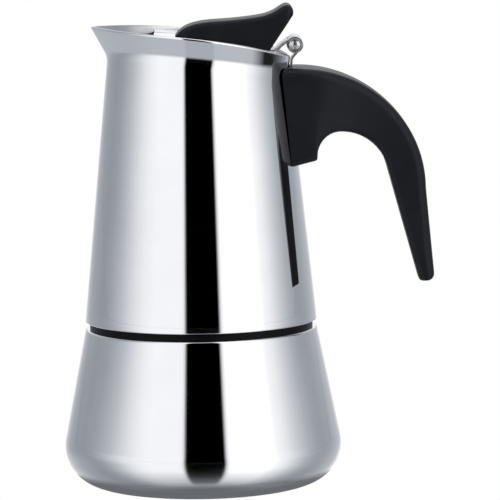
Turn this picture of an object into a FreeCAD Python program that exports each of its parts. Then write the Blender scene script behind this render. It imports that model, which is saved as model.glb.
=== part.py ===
import FreeCAD, Part
import Sketcher
import math
import os
import re

# Stovetop coffee maker of polished steel: a boiler, a screw-on jug with a hinged lid, and a funnel between them.
# Millimetres. The origin is the centre of the boiler's flat base, +Z up, +X towards the handle, spout at -X.

SIZES = {
    # boiler shell
    "steel": 1.0,                # thickness of the pressed sheet
    "foot_corner_r": 53.2,       # where the slanted side would meet the base plane
    "foot_round": 14.0,
    "crest_r": 41.8,             # top edge of the boiler
    "boiler_height": 56.9,
    "crest_round": 1.5,
    # threaded neck and its ring in the jug
    "shoulder": 6.8,             # flat ledge between the top edge and the neck
    "neck_wall": 2.0,
    "neck_height": 10.6,
    "thread_depth": 0.6,
    "thread_pitch": 3.0,
    "thread_gap": 0.35,          # radial clearance between the two threads
    "ring_wall": 2.4,
    "groove": 2.6,               # open slot between boiler and jug
    "band_in": 1.5,              # dark band in the slot, in from the top edge
    "band_gap": 0.3,             # band's top below the jug
    # funnel, gasket and filter plate
    "flange_step": 0.8,          # funnel flange in from the neck's outside
    "funnel_sheet": 0.8,
    "basket_gap": 0.6,           # between basket and neck bore
    "basket_depth": 20.0,
    "basket_cone": 8.0,
    "stem_r": 4.0,
    "stem_foot_gap": 4.0,        # stem end above the boiler floor
    "gasket_band": 6.7,          # width of the gasket
    "gasket_thick": 3.0,
    "seal_gap": 0.35,            # gasket to the seat around it
    "plate_thick": 0.8,
    "hole_r": 0.7,
    "hole_spacing": 4.6,
    # jug shell
    "foot_step": 0.1,            # jug's lower edge out from the boiler's top edge
    "jug_foot_round": 1.2,
    "neck_r": 32.1,
    "jug_height": 96.2,          # jug's lower edge to the neck where the flare starts
    "flare_tip": 0.54,           # outward lean of the flare at the spout, per unit of height
    "flare_side": 0.12,
    "spout_spread": 22.0,        # degrees over which the spout's beak fades into the round rim
    "beak_round": 3.0,
    "rim_tip_rise": 10.5,        # spout tip above the neck
    "rim_fall": 0.075,           # slope of the rim just behind the spout tip
    "rim_drop": 5.9,             # extra fall of the rim at its rear end
    "rim_rear_out": 1.53,        # rear end of the rim out from the neck
    "flare_height": 7.6,         # from the bend up to the rim
    "flare_beak": 2.9,           # extra height of the flare at the spout
    "flare_bend": 2.6,           # half height of the bend between wall and flare
    "riser_foot_r": 10.0,
    "riser_top_r": 5.2,
    "riser_height": 52.0,
    "riser_wall": 0.8,
    # lid, knob and hinge
    "lid_sheet": 0.8,
    "lid_drop": 1.3,             # lid's top below the rim
    "lid_gap": 0.5,
    "lid_length": 45.8,
    "lid_rear_in": 1.5,          # lid's rear edge in from the neck
    "knob_half_width": 10.0,
    "knob_length": 42.3,
    "knob_heel_in": 6.3,         # knob's heel in from the neck
    "knob_tip_out": 2.6,         # knob's tail out from the neck
    "knob_tip_rise": 17.4,       # top of the knob above the neck
    "knob_tail": 3.6,            # height of the blunt tail
    "knob_brow": 12.1,           # long upper face above the neck, at its middle
    "knob_screw_r": 1.5,
    "knob_screw_front": 11.0,    # front screw behind the knob's nose
    "knob_screw_rear": 7.0,      # rear screw ahead of the knob's heel
    "knob_screw_reach": 6.0,
    "knob_screw_head": 1.35,
    "pin_out": 3.15,             # hinge pin out from the neck
    "pin_clear": 0.23,           # underside of the knuckle above the neck
    "pin_r": 2.05,
    "pin_play": 0.07,
    "pin_chamfer": 0.4,
    "leaf": 0.85,                # thickness of the hinge straps
    "leaf_width": 18.0,
    "knuckle_mid": 8.0,
    "knuckle_gap": 0.3,
    "leaf_slope": 35.0,
    "leaf_seat": 12.0,           # length of the lid leaf that lies on the lid
    "strap_slope": 48.0,         # lean of the fixed strap
    "strap_gap": 0.15,
    "strap_foot_drop": 11.0,     # lower end of the fixed strap below the neck
    "strap_bend_drop": 4.6,      # where the strap meets the wall, below the pin
    "strap_bend": 2.2,
    # handle
    "handle_reach": 84.4,        # outermost point of the grip
    "handle_top_drop": 5.1,      # top of the handle below the neck
    "handle_start": 3.5,         # level top of the handle, out from the neck
    "arch_rise": 44.0,
    "grip_lean": 2.7,            # how far the grip's tip stands out beyond the arch
    "grip_foot_z": 73.0,
    "grip_tip_width": 5.4,
    "grip_tip_bevel": 1.8,
    "gap_top_drop": 28.1,        # underside of the arch below the neck
    "gap_crown": 18.7,           # highest point of the finger gap, out from the neck
    "gap_arc_r": 17.6,
    "gap_turn": 76.0,
    "gap_nook": 8.7,             # height of the small round where the arch meets the block
    "block_out": 10.5,           # thickness of the block against the jug
    "block_foot_drop": 38.1,
    "block_foot_slope": 0.27,
    "block_half_width": 14.4,
    "grip_half_width": 7.7,
    "waist": 33.9,               # where the handle stops narrowing fast, out from the neck
    "waist_half_width": 9.2,
    "handle_gap": 0.2,
    "block_depth": 6.0,          # how far the block would reach inside the neck before it is trimmed
    "tongue_drop": 18.0,
    "tongue_thick": 3.0,
    "tongue_length": 21.9,
    "tongue_half_width": 6.0,
    "pad_height": 13.0,
    "pad_thick": 1.6,
    "screw_out": 17.4,           # handle screw out from the neck
    "screw_r": 2.0,
    "screw_head_r": 3.6,
    "screw_head": 2.6,
    "screw_cover": 3.4,          # depth of the screw head's recess
    # safety valve
    "valve_drop": 18.9,          # valve's centre below the boiler's shoulder
    "valve_stub_r": 4.0,
    "valve_seat_r": 8.0,
    "seat_rise": 0.3,            # flat seat proud of the wall outside
    "seat_margin": 0.15,         # inner seat clear of the curved wall at the nut's corners
    "valve_hex": 13.0,
    "valve_hex_height": 4.0,
    "valve_nose_r": 4.4,
    "valve_nose": 4.5,
    "washer_r": 6.2,
    "washer_thick": 1.2,
    "nut_height": 2.6,
    "chamber_r": 3.1,
    "poppet_r": 2.7,
    "poppet_stem_r": 1.2,
    "poppet_travel": 1.5,
    "spring_wire_r": 0.3,
    "spring_turns": 5.0,
    "bush_height": 2.0,
}

# Heights and radii that follow from the sizes above.
PLACES = {
    "neck_root_r": "crest_r - shoulder",
    "neck_bore_r": "neck_root_r - neck_wall",
    "flange_r": "neck_root_r - flange_step",
    "gasket_bore_r": "flange_r - gasket_band",
    "jug_foot_r": "crest_r + foot_step",
    "rim_length": "2 * neck_r + flare_tip * rim_tip_rise + rim_rear_out",
    "lid_rear_x": "neck_r - lid_rear_in",
    "lid_front_x": "lid_rear_x - lid_length",
    "knob_rear_x": "neck_r - knob_heel_in",
    "knob_tip_x": "neck_r + knob_tip_out",
    "knob_front_x": "knob_tip_x - knob_length",
    "handle_start_x": "neck_r + handle_start",
    "arch_reach": "handle_reach - grip_lean - handle_start_x",
    "gap_crown_x": "neck_r + gap_crown",
    "block_inner_x": "neck_r + block_out",
    "waist_x": "neck_r + waist",
    "tongue_reach": "neck_r + tongue_length",
    "screw_x": "neck_r + screw_out",
    "boiler_lean": "(foot_corner_r - crest_r) / boiler_height",
    "neck_top_z": "boiler_height + neck_height",
    "seam_z": "boiler_height + groove",
    "gasket_z": "neck_top_z + funnel_sheet",
    "plate_z": "gasket_z + gasket_thick",
    "floor_z": "plate_z + plate_thick",
    "floor_top_z": "floor_z + steel",
    "neck_z": "seam_z + jug_height",
    "jug_taper": "(jug_foot_r - neck_r) / jug_height",
    "crest_thread_r": "neck_root_r + thread_depth",
    "ring_bore_r": "crest_thread_r + thread_gap",
    "ring_r": "ring_bore_r + ring_wall",
    "basket_r": "neck_bore_r - basket_gap",
    "sieve_z": "neck_top_z - basket_depth",
    "cone_foot_z": "sieve_z - basket_cone",
    "knuckle_bore_r": "pin_r + pin_play",
    "knuckle_r": "knuckle_bore_r + leaf",
    "pin_x": "neck_r + pin_out",
    "pin_z": "neck_z + knuckle_r + pin_clear",
    "valve_z": "boiler_height - valve_drop",
    "valve_wall_r": "foot_corner_r - valve_z * boiler_lean",
    "valve_corner_r": "valve_hex / sqrt(3)",
    "seat_depth": "steel + seat_rise + valve_corner_r * valve_corner_r / (2 * valve_wall_r) + seat_margin",
    "valve_tilt": "atan(boiler_lean)",
    "tongue_z": "neck_z - tongue_drop",
    "gap_top_z": "neck_z - gap_top_drop",
}

doc = FreeCAD.newDocument("CoffeeMaker")
sheet = doc.addObject("Spreadsheet::Sheet", "Sizes")
for row, (alias, size) in enumerate(SIZES.items(), start=1):
    sheet.set(f"A{row}", alias)
    sheet.set(f"B{row}", str(size))
    sheet.setAlias(f"B{row}", alias)
doc.recompute()

NODES = []


# ---------------------------------------------------------------- helpers

def formula(text):
    """The text with every size as a sheet alias and every place as its own formula."""
    def swap(match):
        word = match.group()
        if word in PLACES:
            return "(" + formula(PLACES[word]) + ")"
        return "Sizes." + word if word in SIZES else word
    return re.sub(r"[a-z_]+", swap, str(text))


def value(text):
    """The number that a formula of sizes gives."""
    found = sheet.evalExpression(formula(text))
    return float(getattr(found, "Value", found))


def vector(x, y, z):
    return FreeCAD.Vector(value(x), value(y), value(z))


def node(thing, label):
    """Marks an object as a piece of the product, under the label that names its file."""
    thing.Label = label
    NODES.append(thing)
    return thing


def bind(thing, **sizes):
    for name, text in sizes.items():
        thing.setExpression(name, formula(text))
    return thing


def place(thing, x="0", y="0", z="0", turn=None):
    """Puts a piece at formulas of sizes; turn is (axis, angle formula)."""
    if turn:
        thing.Placement = FreeCAD.Placement(FreeCAD.Vector(0, 0, 0), FreeCAD.Rotation(turn[0], value(turn[1])))
        thing.setExpression("Placement.Rotation.Angle", formula(turn[1]))
    for axis, text in (("x", x), ("y", y), ("z", z)):
        thing.setExpression("Placement.Base." + axis, formula(text))
    return thing


def origin_plane(body, role):
    return next(plane for plane in body.Origin.OriginFeatures if plane.Role == role)


def corner_cut(before, corner, after, radius):
    """Tangent points and centre of a round of this radius at a corner."""
    back = (before - corner).normalize()
    ahead = (after - corner).normalize()
    half = math.acos(max(-1.0, min(1.0, back.dot(ahead)))) / 2
    run = radius / math.tan(half)
    middle = (back + ahead).normalize()
    return corner + back * run, corner + ahead * run, corner + middle * (radius / math.sin(half))


def outline_sketch(body, corners, role="XZ_Plane"):
    """A closed sketch through corners (x, y) or (x, y, round radius), every one held by sizes of the sheet."""
    sketch = body.newObject("Sketcher::SketchObject", body.Name + "_outline")
    sketch.AttachmentSupport = [(origin_plane(body, role), "")]
    sketch.MapMode = "FlatFace"
    points = [vector(c[0], c[1], "0") for c in corners]
    count = len(corners)
    starts, ends, arcs = list(points), list(points), {}
    for i, corner in enumerate(corners):
        if len(corner) > 2:
            ends[i], starts[i], centre = corner_cut(points[i - 1], points[i], points[(i + 1) % count], value(corner[2]))
            arcs[i] = centre
    lines = [sketch.addGeometry(Part.LineSegment(starts[i], ends[(i + 1) % count]), False) for i in range(count)]
    for i, corner in enumerate(corners):
        before, after = lines[i - 1], lines[i]
        if i in arcs:
            hold_round(sketch, before, after, points[i], ends[i], starts[i], arcs[i], corner)
        else:
            sketch.addConstraint(Sketcher.Constraint("Coincident", before, 2, after, 1))
            hold_point(sketch, after, 1, points[i], corner)
    return sketch


def hold_point(sketch, geometry, end, point, corner):
    for kind, size, text in (("DistanceX", point.x, corner[0]), ("DistanceY", point.y, corner[1])):
        index = sketch.addConstraint(Sketcher.Constraint(kind, -1, 1, geometry, end, size))
        sketch.setExpression(f"Constraints[{index}]", formula(text))


def hold_round(sketch, before, after, point, first, last, centre, corner):
    """A tangent arc between two sides, with the corner itself held as a point on both."""
    circle = Part.Circle(centre, FreeCAD.Vector(0, 0, 1), (first - centre).Length)
    turn = (first - centre).cross(last - centre).z
    begin, finish = (first, last) if turn > 0 else (last, first)
    arc = sketch.addGeometry(
        Part.ArcOfCircle(circle, circle.parameter(begin), circle.parameter(finish)), False
    )
    start_end, finish_end = (1, 2) if turn > 0 else (2, 1)
    mark = sketch.addGeometry(Part.Point(point), True)
    hold_point(sketch, mark, 1, point, corner)
    sketch.addConstraint(Sketcher.Constraint("PointOnObject", mark, 1, before))
    sketch.addConstraint(Sketcher.Constraint("PointOnObject", mark, 1, after))
    sketch.addConstraint(Sketcher.Constraint("Tangent", before, 2, arc, start_end))
    sketch.addConstraint(Sketcher.Constraint("Tangent", arc, finish_end, after, 1))
    index = sketch.addConstraint(Sketcher.Constraint("Radius", arc, circle.Radius))
    sketch.setExpression(f"Constraints[{index}]", formula(corner[2]))


def turned(name, corners, mark=True):
    """A body turned about the vertical axis from corners (radius, height, optional round)."""
    body = doc.addObject("PartDesign::Body", name)
    sketch = outline_sketch(body, corners)
    revolve = body.newObject("PartDesign::Revolution", name + "_turn")
    revolve.Profile = sketch
    revolve.ReferenceAxis = (sketch, ["V_Axis"])
    revolve.Angle = 360
    sketch.Visibility = False
    return node(body, name) if mark else body


def cylinder(name, radius, height, x="0", y="0", z="0"):
    rod = doc.addObject("Part::Cylinder", name)
    bind(rod, Radius=radius, Height=height)
    return place(rod, x, y, z)


def block(name, x, y, z, length, width, height):
    """A box from its lowest corner and its three sides."""
    box = doc.addObject("Part::Box", name)
    bind(box, Length=length, Width=width, Height=height)
    return place(box, x, y, z)


def hexagon(name, across_flats, height, z="0"):
    prism = doc.addObject("Part::Prism", name)
    prism.Polygon = 6
    bind(prism, Circumradius=f"{across_flats} / sqrt(3)", Height=height)
    return place(prism, z=z)


def fuse(name, *pieces):
    joined = doc.addObject("Part::MultiFuse", name)
    joined.Shapes = list(pieces)
    joined.Refine = True
    return joined


def cut(name, base, *tools):
    """The base less its tools."""
    result = doc.addObject("Part::Cut", name)
    result.Base = base
    result.Tool = tools[0] if len(tools) == 1 else fuse(name + "_tools", *tools)
    return result


def shaped(name, shape, mark=True):
    """A piece whose shape comes from a formula of the sheet's sizes."""
    feature = doc.addObject("Part::Feature", name)
    feature.Shape = shape
    feature.Placement = FreeCAD.Placement()
    return node(feature, name) if mark else feature


def holes_on_rings(name, radius, height, z, spacing, limit):
    """Upright holes: one in the centre and rings of 6, 12, 18 and so on, a spacing apart."""
    rods = [cylinder(name + "_0", radius, height, z=z)]
    ring = 1
    while (ring + 0.5) * value(spacing) < value(limit):
        for i in range(6 * ring):
            angle = 360 * i / (6 * ring)
            x = f"{ring} * {spacing} * cos({angle} deg)"
            y = f"{ring} * {spacing} * sin({angle} deg)"
            rods.append(cylinder(f"{name}_{ring}_{i}", radius, height, x, y, z))
        ring += 1
    return rods


# ---------------------------------------------------------------- boiler

def thread_steps(root, crest, base_z, side):
    """Corners of thread ridges up a wall; side is +1 for ridges on the outside and -1 for grooves inside."""
    corners = []
    for turn in range(1, 3):
        middle = f"{base_z} + ({turn} + 0.8) * thread_pitch"
        rows = [(root, f"{middle} - 0.3 * thread_pitch"), (crest, middle), (root, f"{middle} + 0.3 * thread_pitch")]
        corners += rows
    return corners if side > 0 else corners[::-1]


def boiler():
    wall = turned("boiler_wall", [
        ("0", "0"),
        ("foot_corner_r", "0", "foot_round"),
        ("crest_r", "boiler_height", "crest_round"),
        ("neck_root_r", "boiler_height"),
        ("neck_root_r", "boiler_height - steel"),
        ("crest_r - steel", "boiler_height - steel"),
        ("foot_corner_r - steel - steel * boiler_lean", "steel", "foot_round - steel"),
        ("0", "steel"),
    ], mark=False)
    seat = cylinder("valve_seat", "valve_seat_r", "seat_depth")
    bore = cylinder("valve_bore", "valve_stub_r + pin_play", "6 * steel")
    on_valve_axis(seat, "-1 * seat_depth")
    on_valve_axis(bore, "-4 * steel")
    node(cut("boiler_shell", fuse("boiler_with_seat", wall, seat), bore), "boiler_shell")
    turned("boiler_neck_ring", [
        ("neck_bore_r", "boiler_height - 2 * steel"),
        ("neck_root_r + steel", "boiler_height - 2 * steel"),
        ("neck_root_r + steel", "boiler_height - steel"),
        ("neck_root_r", "boiler_height - steel"),
        ("neck_root_r", "boiler_height"),
        ("crest_r - band_in", "boiler_height"),
        ("crest_r - band_in", "seam_z - band_gap"),
        ("neck_root_r", "seam_z - band_gap"),
        *thread_steps("neck_root_r", "crest_thread_r", "boiler_height", 1),
        ("neck_root_r", "neck_top_z"),
        ("neck_bore_r", "neck_top_z"),
    ])


# ---------------------------------------------------------------- safety valve, square to the slanted wall

def on_valve_axis(thing, depth="0"):
    """Puts a piece made along +Z onto the valve's axis; depth is measured outwards from the wall."""
    reach = f"valve_wall_r + seat_rise + ({depth}) * cos(valve_tilt)"
    height = f"valve_z + ({depth}) * sin(valve_tilt)"
    return place(thing, "0", reach, height, (FreeCAD.Vector(-1, 0, 0), "90 deg - valve_tilt"))


def safety_valve():
    nose_z = "washer_thick + valve_hex_height + valve_nose"
    chamber_z = "-1 * steel"
    body = cut(
        "valve_body",
        fuse(
            "valve_outside",
            cylinder("valve_stub", "valve_stub_r", "washer_thick + 6.5 * steel", z="-6.5 * steel"),
            hexagon("valve_head", "valve_hex", "valve_hex_height", "washer_thick"),
            cylinder("valve_nose_rod", "valve_nose_r", "valve_nose", z="washer_thick + valve_hex_height"),
        ),
        cylinder("valve_inlet", "poppet_r - steel", "12 * steel", z="-8 * steel"),
        cylinder("valve_chamber", "chamber_r", f"{nose_z} - ({chamber_z}) + steel", z=chamber_z),
    )
    on_valve_axis(node(body, "valve_body"))
    washer = cut(
        "valve_washer",
        cylinder("washer_disc", "washer_r", "washer_thick"),
        cylinder("washer_hole", "valve_stub_r + pin_play", "3 * washer_thick", z="-washer_thick"),
    )
    on_valve_axis(node(washer, "valve_washer"))
    nut = cut(
        "valve_nut",
        hexagon("nut_block", "valve_hex", "nut_height"),
        cylinder("nut_hole", "valve_stub_r + pin_play", "3 * nut_height", z="-nut_height"),
    )
    on_valve_axis(node(nut, "valve_nut"), "-1 * seat_depth - nut_height")
    bush = cut(
        "valve_bush",
        cylinder("bush_plug", "chamber_r - pin_play", "bush_height"),
        cylinder("bush_hole", "poppet_stem_r + pin_play", "3 * bush_height", z="-bush_height"),
    )
    on_valve_axis(node(bush, "valve_bush"), f"{nose_z} - bush_height")
    poppet = fuse(
        "valve_poppet",
        cylinder("poppet_head", "poppet_r", "steel"),
        cylinder("poppet_stem", "poppet_stem_r", f"{nose_z} - ({chamber_z}) + poppet_travel"),
    )
    on_valve_axis(node(poppet, "valve_poppet"), chamber_z)
    coil_room = value(f"{nose_z} - bush_height - ({chamber_z}) - steel - 8 * pin_play")
    on_valve_axis(node(valve_spring(coil_room), "valve_spring"), f"{chamber_z} + steel + 4 * pin_play")


def valve_spring(length):
    """One round wire swept along a helix between the poppet's head and the bush."""
    wire_r = value("spring_wire_r")
    middle_r = value("(poppet_stem_r + chamber_r) / 2")
    climb = length - 2 * wire_r
    path = Part.makeHelix(climb / value("spring_turns"), climb, middle_r)
    start = FreeCAD.Vector(middle_r, 0, 0)
    section = Part.Wire(Part.makeCircle(wire_r, start, FreeCAD.Vector(0, 1, 0)))
    coil = Part.Wire(path).makePipeShell([section], True, True)
    coil.translate(FreeCAD.Vector(0, 0, wire_r))
    feature = doc.addObject("Part::Feature", "valve_spring")
    feature.Shape = Part.Solid(coil) if coil.ShapeType == "Shell" else coil
    return feature


# ---------------------------------------------------------------- funnel, gasket and filter plate

def funnel():
    turned("funnel_basket", [
        ("stem_r", "cone_foot_z"),
        ("stem_r + funnel_sheet", "cone_foot_z"),
        ("basket_r", "sieve_z - funnel_sheet"),
        ("basket_r", "neck_top_z"),
        ("flange_r", "neck_top_z"),
        ("flange_r", "gasket_z"),
        ("basket_r - funnel_sheet", "gasket_z"),
        ("basket_r - funnel_sheet", "sieve_z"),
        ("stem_r", "cone_foot_z + funnel_sheet"),
    ])
    turned("funnel_stem", [
        ("stem_r - funnel_sheet", "steel + stem_foot_gap"),
        ("stem_r", "steel + stem_foot_gap"),
        ("stem_r", "cone_foot_z + funnel_sheet"),
        ("stem_r - funnel_sheet", "cone_foot_z + funnel_sheet"),
    ])
    disc = cylinder("sieve_disc", "basket_r - funnel_sheet - pin_play", "funnel_sheet", z="sieve_z")
    holes = holes_on_rings("sieve_hole", "hole_r", "3 * funnel_sheet", "sieve_z - funnel_sheet",
                           "hole_spacing", "basket_r - 2 * hole_spacing")
    node(cut("funnel_sieve", disc, *holes), "funnel_sieve")


def seal():
    turned("gasket", [
        ("gasket_bore_r", "gasket_z"),
        ("flange_r", "gasket_z"),
        ("flange_r", "plate_z"),
        ("gasket_bore_r", "plate_z"),
    ])
    disc = cylinder("plate_disc", "flange_r", "plate_thick", z="plate_z")
    holes = holes_on_rings("plate_hole", "hole_r", "3 * plate_thick", "plate_z - plate_thick",
                           "hole_spacing", "gasket_bore_r - hole_spacing")
    node(cut("filter_plate", disc, *holes), "filter_plate")


# ---------------------------------------------------------------- jug shell with its flared rim and spout

def fade(angle):
    """Share of the spout at an angle in degrees from it: 1 at the tip, falling off evenly to both sides."""
    soft = value("beak_round")
    return math.exp(-(math.hypot(angle, soft) - soft) / value("spout_spread"))


def rim_height(x):
    """Height of the rim at x: straight behind the tip, then dropping with the fourth power towards the hinge."""
    tip_x = -value("neck_r + flare_tip * rim_tip_rise")
    along = max(0.0, x - tip_x)
    length = value("rim_length")
    return value("neck_z + rim_tip_rise") - value("rim_fall") * along - value("rim_drop") * (along / length) ** 4


def wall_radius(angle, height):
    """Outer radius of the jug at an angle from the spout: the cone, plus the flare above a rounded bend."""
    taper = value("jug_taper")
    cone = value("neck_r") + taper * (value("neck_z") - height)
    share = fade(angle)
    lean = value("flare_side") + value("flare_tip - flare_side") * share + taper
    x = -value("neck_r") * math.cos(math.radians(angle))
    bend_z = rim_height(x) - value("flare_height") - value("flare_beak") * share
    soft = value("flare_bend")
    rise = height - bend_z
    if rise >= soft:
        return cone + lean * rise
    return cone + lean * (rise + soft) ** 2 / (4 * soft) if rise > -soft else cone


POINTS_ROUND = 48
FLARE_LEVELS = (-14, -11, -8, -5, -3, -1, 1, 3, 5, 8, 13)    # section heights from the neck, up past the rim


def ring_wire(height, inset, radius=None):
    """A closed curve round the jug at one height, drawn in from its outer surface by the inset."""
    points = []
    for step in range(POINTS_ROUND):
        angle = 360.0 * step / POINTS_ROUND - 180.0
        reach = (radius if radius else wall_radius(abs(angle), height)) - inset
        turn = math.radians(angle)
        points.append(FreeCAD.Vector(-reach * math.cos(turn), reach * math.sin(turn), height))
    curve = Part.BSplineCurve()
    curve.interpolate(Points=points, PeriodicFlag=True)
    return Part.Wire(curve.toShape())


def jug_core(inset, low):
    """The solid inside the jug's outer surface, drawn in by the inset, from a low height to above the rim."""
    levels = [low] + [value("neck_z") + rise for rise in FLARE_LEVELS]
    return Part.makeLoft([ring_wire(level, inset) for level in levels], True, True)


def outer_core():
    """The jug's outer solid, with its rounded lower edge."""
    wires = []
    foot_round = value("jug_foot_round")
    for step in range(4):
        turn = math.radians(30 * step)
        height = value("seam_z") + foot_round * (1 - math.cos(turn))
        radius = wall_radius(0, height) - foot_round * (1 - math.sin(turn))
        wires.append(ring_wire(height, 0.0, radius))
    wires += [ring_wire(value("neck_z") + rise, 0.0) for rise in FLARE_LEVELS]
    return Part.makeLoft(wires, True, True)


def side_slab(points, half_width, back=None):
    """A closed outline of (x, z) points or curves, carried straight across from -half_width to +half_width."""
    face = Part.Face(Part.Wire(Part.__sortEdges__(points)))
    start = -half_width if back is None else back
    face.translate(FreeCAD.Vector(0, start, 0))
    return face.extrude(FreeCAD.Vector(0, half_width - start, 0))


def flat(x, z):
    return FreeCAD.Vector(x, 0, z)


def line(first, last):
    return Part.LineSegment(first, last).toShape()


def polyline(points):
    """Straight edges through points, closed."""
    return [line(points[i], points[(i + 1) % len(points)]) for i in range(len(points))]


def rim_curve(first_x, last_x, drop):
    """The rim's height line between two x places, lowered by a drop, as one smooth edge."""
    xs = [first_x + (last_x - first_x) * step / 10 for step in range(11)]
    curve = Part.BSplineCurve()
    curve.interpolate([flat(x, rim_height(x) - drop) for x in xs])
    return curve.toShape()


def rim_band(first_x, last_x, top_drop, low_drop, half_width):
    """A slab that follows the rim between two drops below it."""
    top = rim_curve(first_x, last_x, top_drop)
    low = rim_curve(first_x, last_x, low_drop)
    sides = [
        line(flat(x, rim_height(x) - top_drop), flat(x, rim_height(x) - low_drop)) for x in (first_x, last_x)
    ]
    return side_slab([top, low, *sides], half_width)


def jug():
    reach = value("neck_r + jug_foot_r")
    above = value("neck_z + rim_tip_rise + jug_height")
    shell = outer_core().cut(jug_core(value("steel"), value("seam_z + steel")))
    shell = shell.cut(Part.makeCylinder(value("ring_r + pin_play"), value("4 * steel"),
                                        FreeCAD.Vector(0, 0, value("seam_z - steel"))))
    rim_cutter = side_slab([
        rim_curve(-reach, reach, 0.0),
        line(flat(-reach, rim_height(-reach)), flat(-reach, above)),
        line(flat(-reach, above), flat(reach, above)),
        line(flat(reach, above), flat(reach, rim_height(reach))),
    ], reach)
    shaped("jug_shell", shell.cut(rim_cutter))
    inside = "neck_r + jug_taper * (neck_z - floor_z) - steel - pin_play"
    turned("jug_floor", [
        ("riser_foot_r - 3 * steel", "floor_z"),
        (inside, "floor_z"),
        (f"{inside} - steel * jug_taper", "floor_top_z"),
        ("riser_foot_r - 3 * steel", "floor_top_z"),
    ])
    turned("jug_thread_ring", [
        ("ring_bore_r", "seam_z + pin_play"),
        ("ring_r", "seam_z + pin_play"),
        ("ring_r", "floor_z"),
        ("flange_r + seal_gap", "floor_z"),
        ("flange_r + seal_gap", "neck_top_z + seal_gap"),
        ("ring_bore_r", "neck_top_z + seal_gap"),
    ])
    riser_top = "floor_top_z + riser_height"
    turned("riser_tube", [
        ("riser_foot_r - steel - riser_wall", "floor_top_z"),
        ("riser_foot_r + steel", "floor_top_z"),
        ("riser_foot_r + steel", "floor_top_z + riser_wall"),
        ("riser_foot_r - steel", "floor_top_z + riser_wall"),
        ("riser_top_r + riser_wall", "floor_top_z + riser_foot_r"),
        ("riser_top_r", riser_top),
        ("riser_top_r - riser_wall", riser_top),
        ("riser_top_r", "floor_top_z + riser_foot_r"),
    ])
    cap = turned("riser_cap_dome", [
        ("0", f"{riser_top} + 6 * riser_wall"),
        ("riser_top_r + riser_wall", f"{riser_top} + 6 * riser_wall", "2 * riser_wall"),
        ("riser_top_r + riser_wall", f"{riser_top} - 3 * riser_wall"),
        ("riser_top_r + pin_play", f"{riser_top} - 3 * riser_wall"),
        ("riser_top_r + pin_play", riser_top),
        ("riser_top_r - riser_wall", riser_top),
        ("riser_top_r - riser_wall", f"{riser_top} + 5 * riser_wall"),
        ("0", f"{riser_top} + 5 * riser_wall"),
    ], mark=False)
    port = block("riser_port", "-2 * riser_top_r", "-1.5 * riser_wall", f"{riser_top} + riser_wall",
                 "4 * riser_top_r", "3 * riser_wall", "3 * riser_wall")
    node(cut("riser_cap", cap, port), "riser_cap")


# ---------------------------------------------------------------- lid, knob and hinge

def across(angle):
    """Unit vector in the side plane at an angle in degrees from +X."""
    return FreeCAD.Vector(math.cos(math.radians(angle)), 0, math.sin(math.radians(angle)))


def pin_centre():
    return flat(value("pin_x"), value("pin_z"))


def strap_points(angle, run, length):
    """A strap that leaves the knuckle at an angle and runs in a direction for a length."""
    low = pin_centre() + across(angle) * value("knuckle_bore_r")
    high = pin_centre() + across(angle) * value("knuckle_r")
    return low, high, high + across(run) * length, low + across(run) * length


def knuckle(half_width, back):
    """One curl of a hinge strap round the pin, from back to half_width across."""
    axis = FreeCAD.Vector(0, 1, 0)
    start = pin_centre() + FreeCAD.Vector(0, back, 0)
    width = half_width - back
    outside = Part.makeCylinder(value("knuckle_r"), width, start, axis)
    return outside.cut(Part.makeCylinder(value("knuckle_bore_r"), width, start, axis))


def lid_leaf_shape(extra=0.0):
    """Strap and seat of the leaf on the lid; extra widens and thickens it to make its recess in the knob."""
    half = value("leaf_width") / 2 + extra
    slope = value("leaf_slope")
    reach = (value("pin_x") - value("knob_rear_x")) / math.cos(math.radians(slope))
    seat_rear = value("knob_rear_x") + value("leaf")
    seat_front = value("knob_rear_x - leaf_seat") - extra
    lid_top = value("lid_drop")
    contact = lid_top - value("pin_play") + extra
    band = rim_band(seat_front, seat_rear, contact - value("leaf") - 2 * extra, contact, half)
    low, high, far_high, far_low = strap_points(90 + slope, 180 + slope, reach)
    strap = side_slab(polyline([low, high, far_high, far_low]), half)
    under = rim_band(seat_front, value("pin_x"), contact, contact + 9.0, half + 1.0)
    return band.fuse(strap.cut(under))


def lid():
    inner = jug_core(value("steel + lid_gap"), value("neck_z") - 15)
    band = rim_band(value("lid_front_x"), value("lid_rear_x"), value("lid_drop"),
                    value("lid_drop + lid_sheet"), value("neck_r") + 5)
    plate = band.common(inner)
    shaped("lid_plate", screw_hole(plate))
    shaped("lid_knob", knob_shape())
    shaped("lid_leaf", lid_leaf())
    shaped("knob_screws", Part.makeCompound([knob_screw(x) for x in knob_screw_places()]))
    shaped("hinge_bracket", hinge_bracket_shape(0.0))
    axis = FreeCAD.Vector(0, 1, 0)
    half = value("leaf_width") / 2 + value("leaf")
    rod = Part.makeCylinder(value("pin_r"), 2 * half, pin_centre() - axis * half, axis)
    ends = [edge for edge in rod.Edges if edge.Closed and isinstance(edge.Curve, Part.Circle)]
    shaped("hinge_pin", rod.makeChamfer(value("pin_chamfer"), ends))


def lid_leaf():
    """The lid's hinge leaf: a seat under the knob, a strap, and two curls that leave room for the middle one."""
    half = value("leaf_width") / 2
    inner_edge = value("knuckle_mid") / 2 + value("knuckle_gap")
    clear = side_slab([Part.makeCircle(value("knuckle_r + 2 * knuckle_gap"), pin_centre(),
                                       FreeCAD.Vector(0, 1, 0))], inner_edge)
    leaf = screw_hole(lid_leaf_shape().cut(clear))
    return leaf.fuse(knuckle(half, inner_edge)).fuse(knuckle(-inner_edge, -half))


def upright(x, radius, low, high):
    """A rod square to the lid at x, from low to high measured from the lid's top there."""
    reach = value("lid_sheet")
    fall = (rim_height(x - reach) - rim_height(x + reach)) / (2 * reach)
    axis = flat(fall, 1.0).normalize()
    foot = flat(x, rim_height(x) - value("lid_drop"))
    return Part.makeCylinder(radius, high - low, foot + axis * low, axis)


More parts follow.
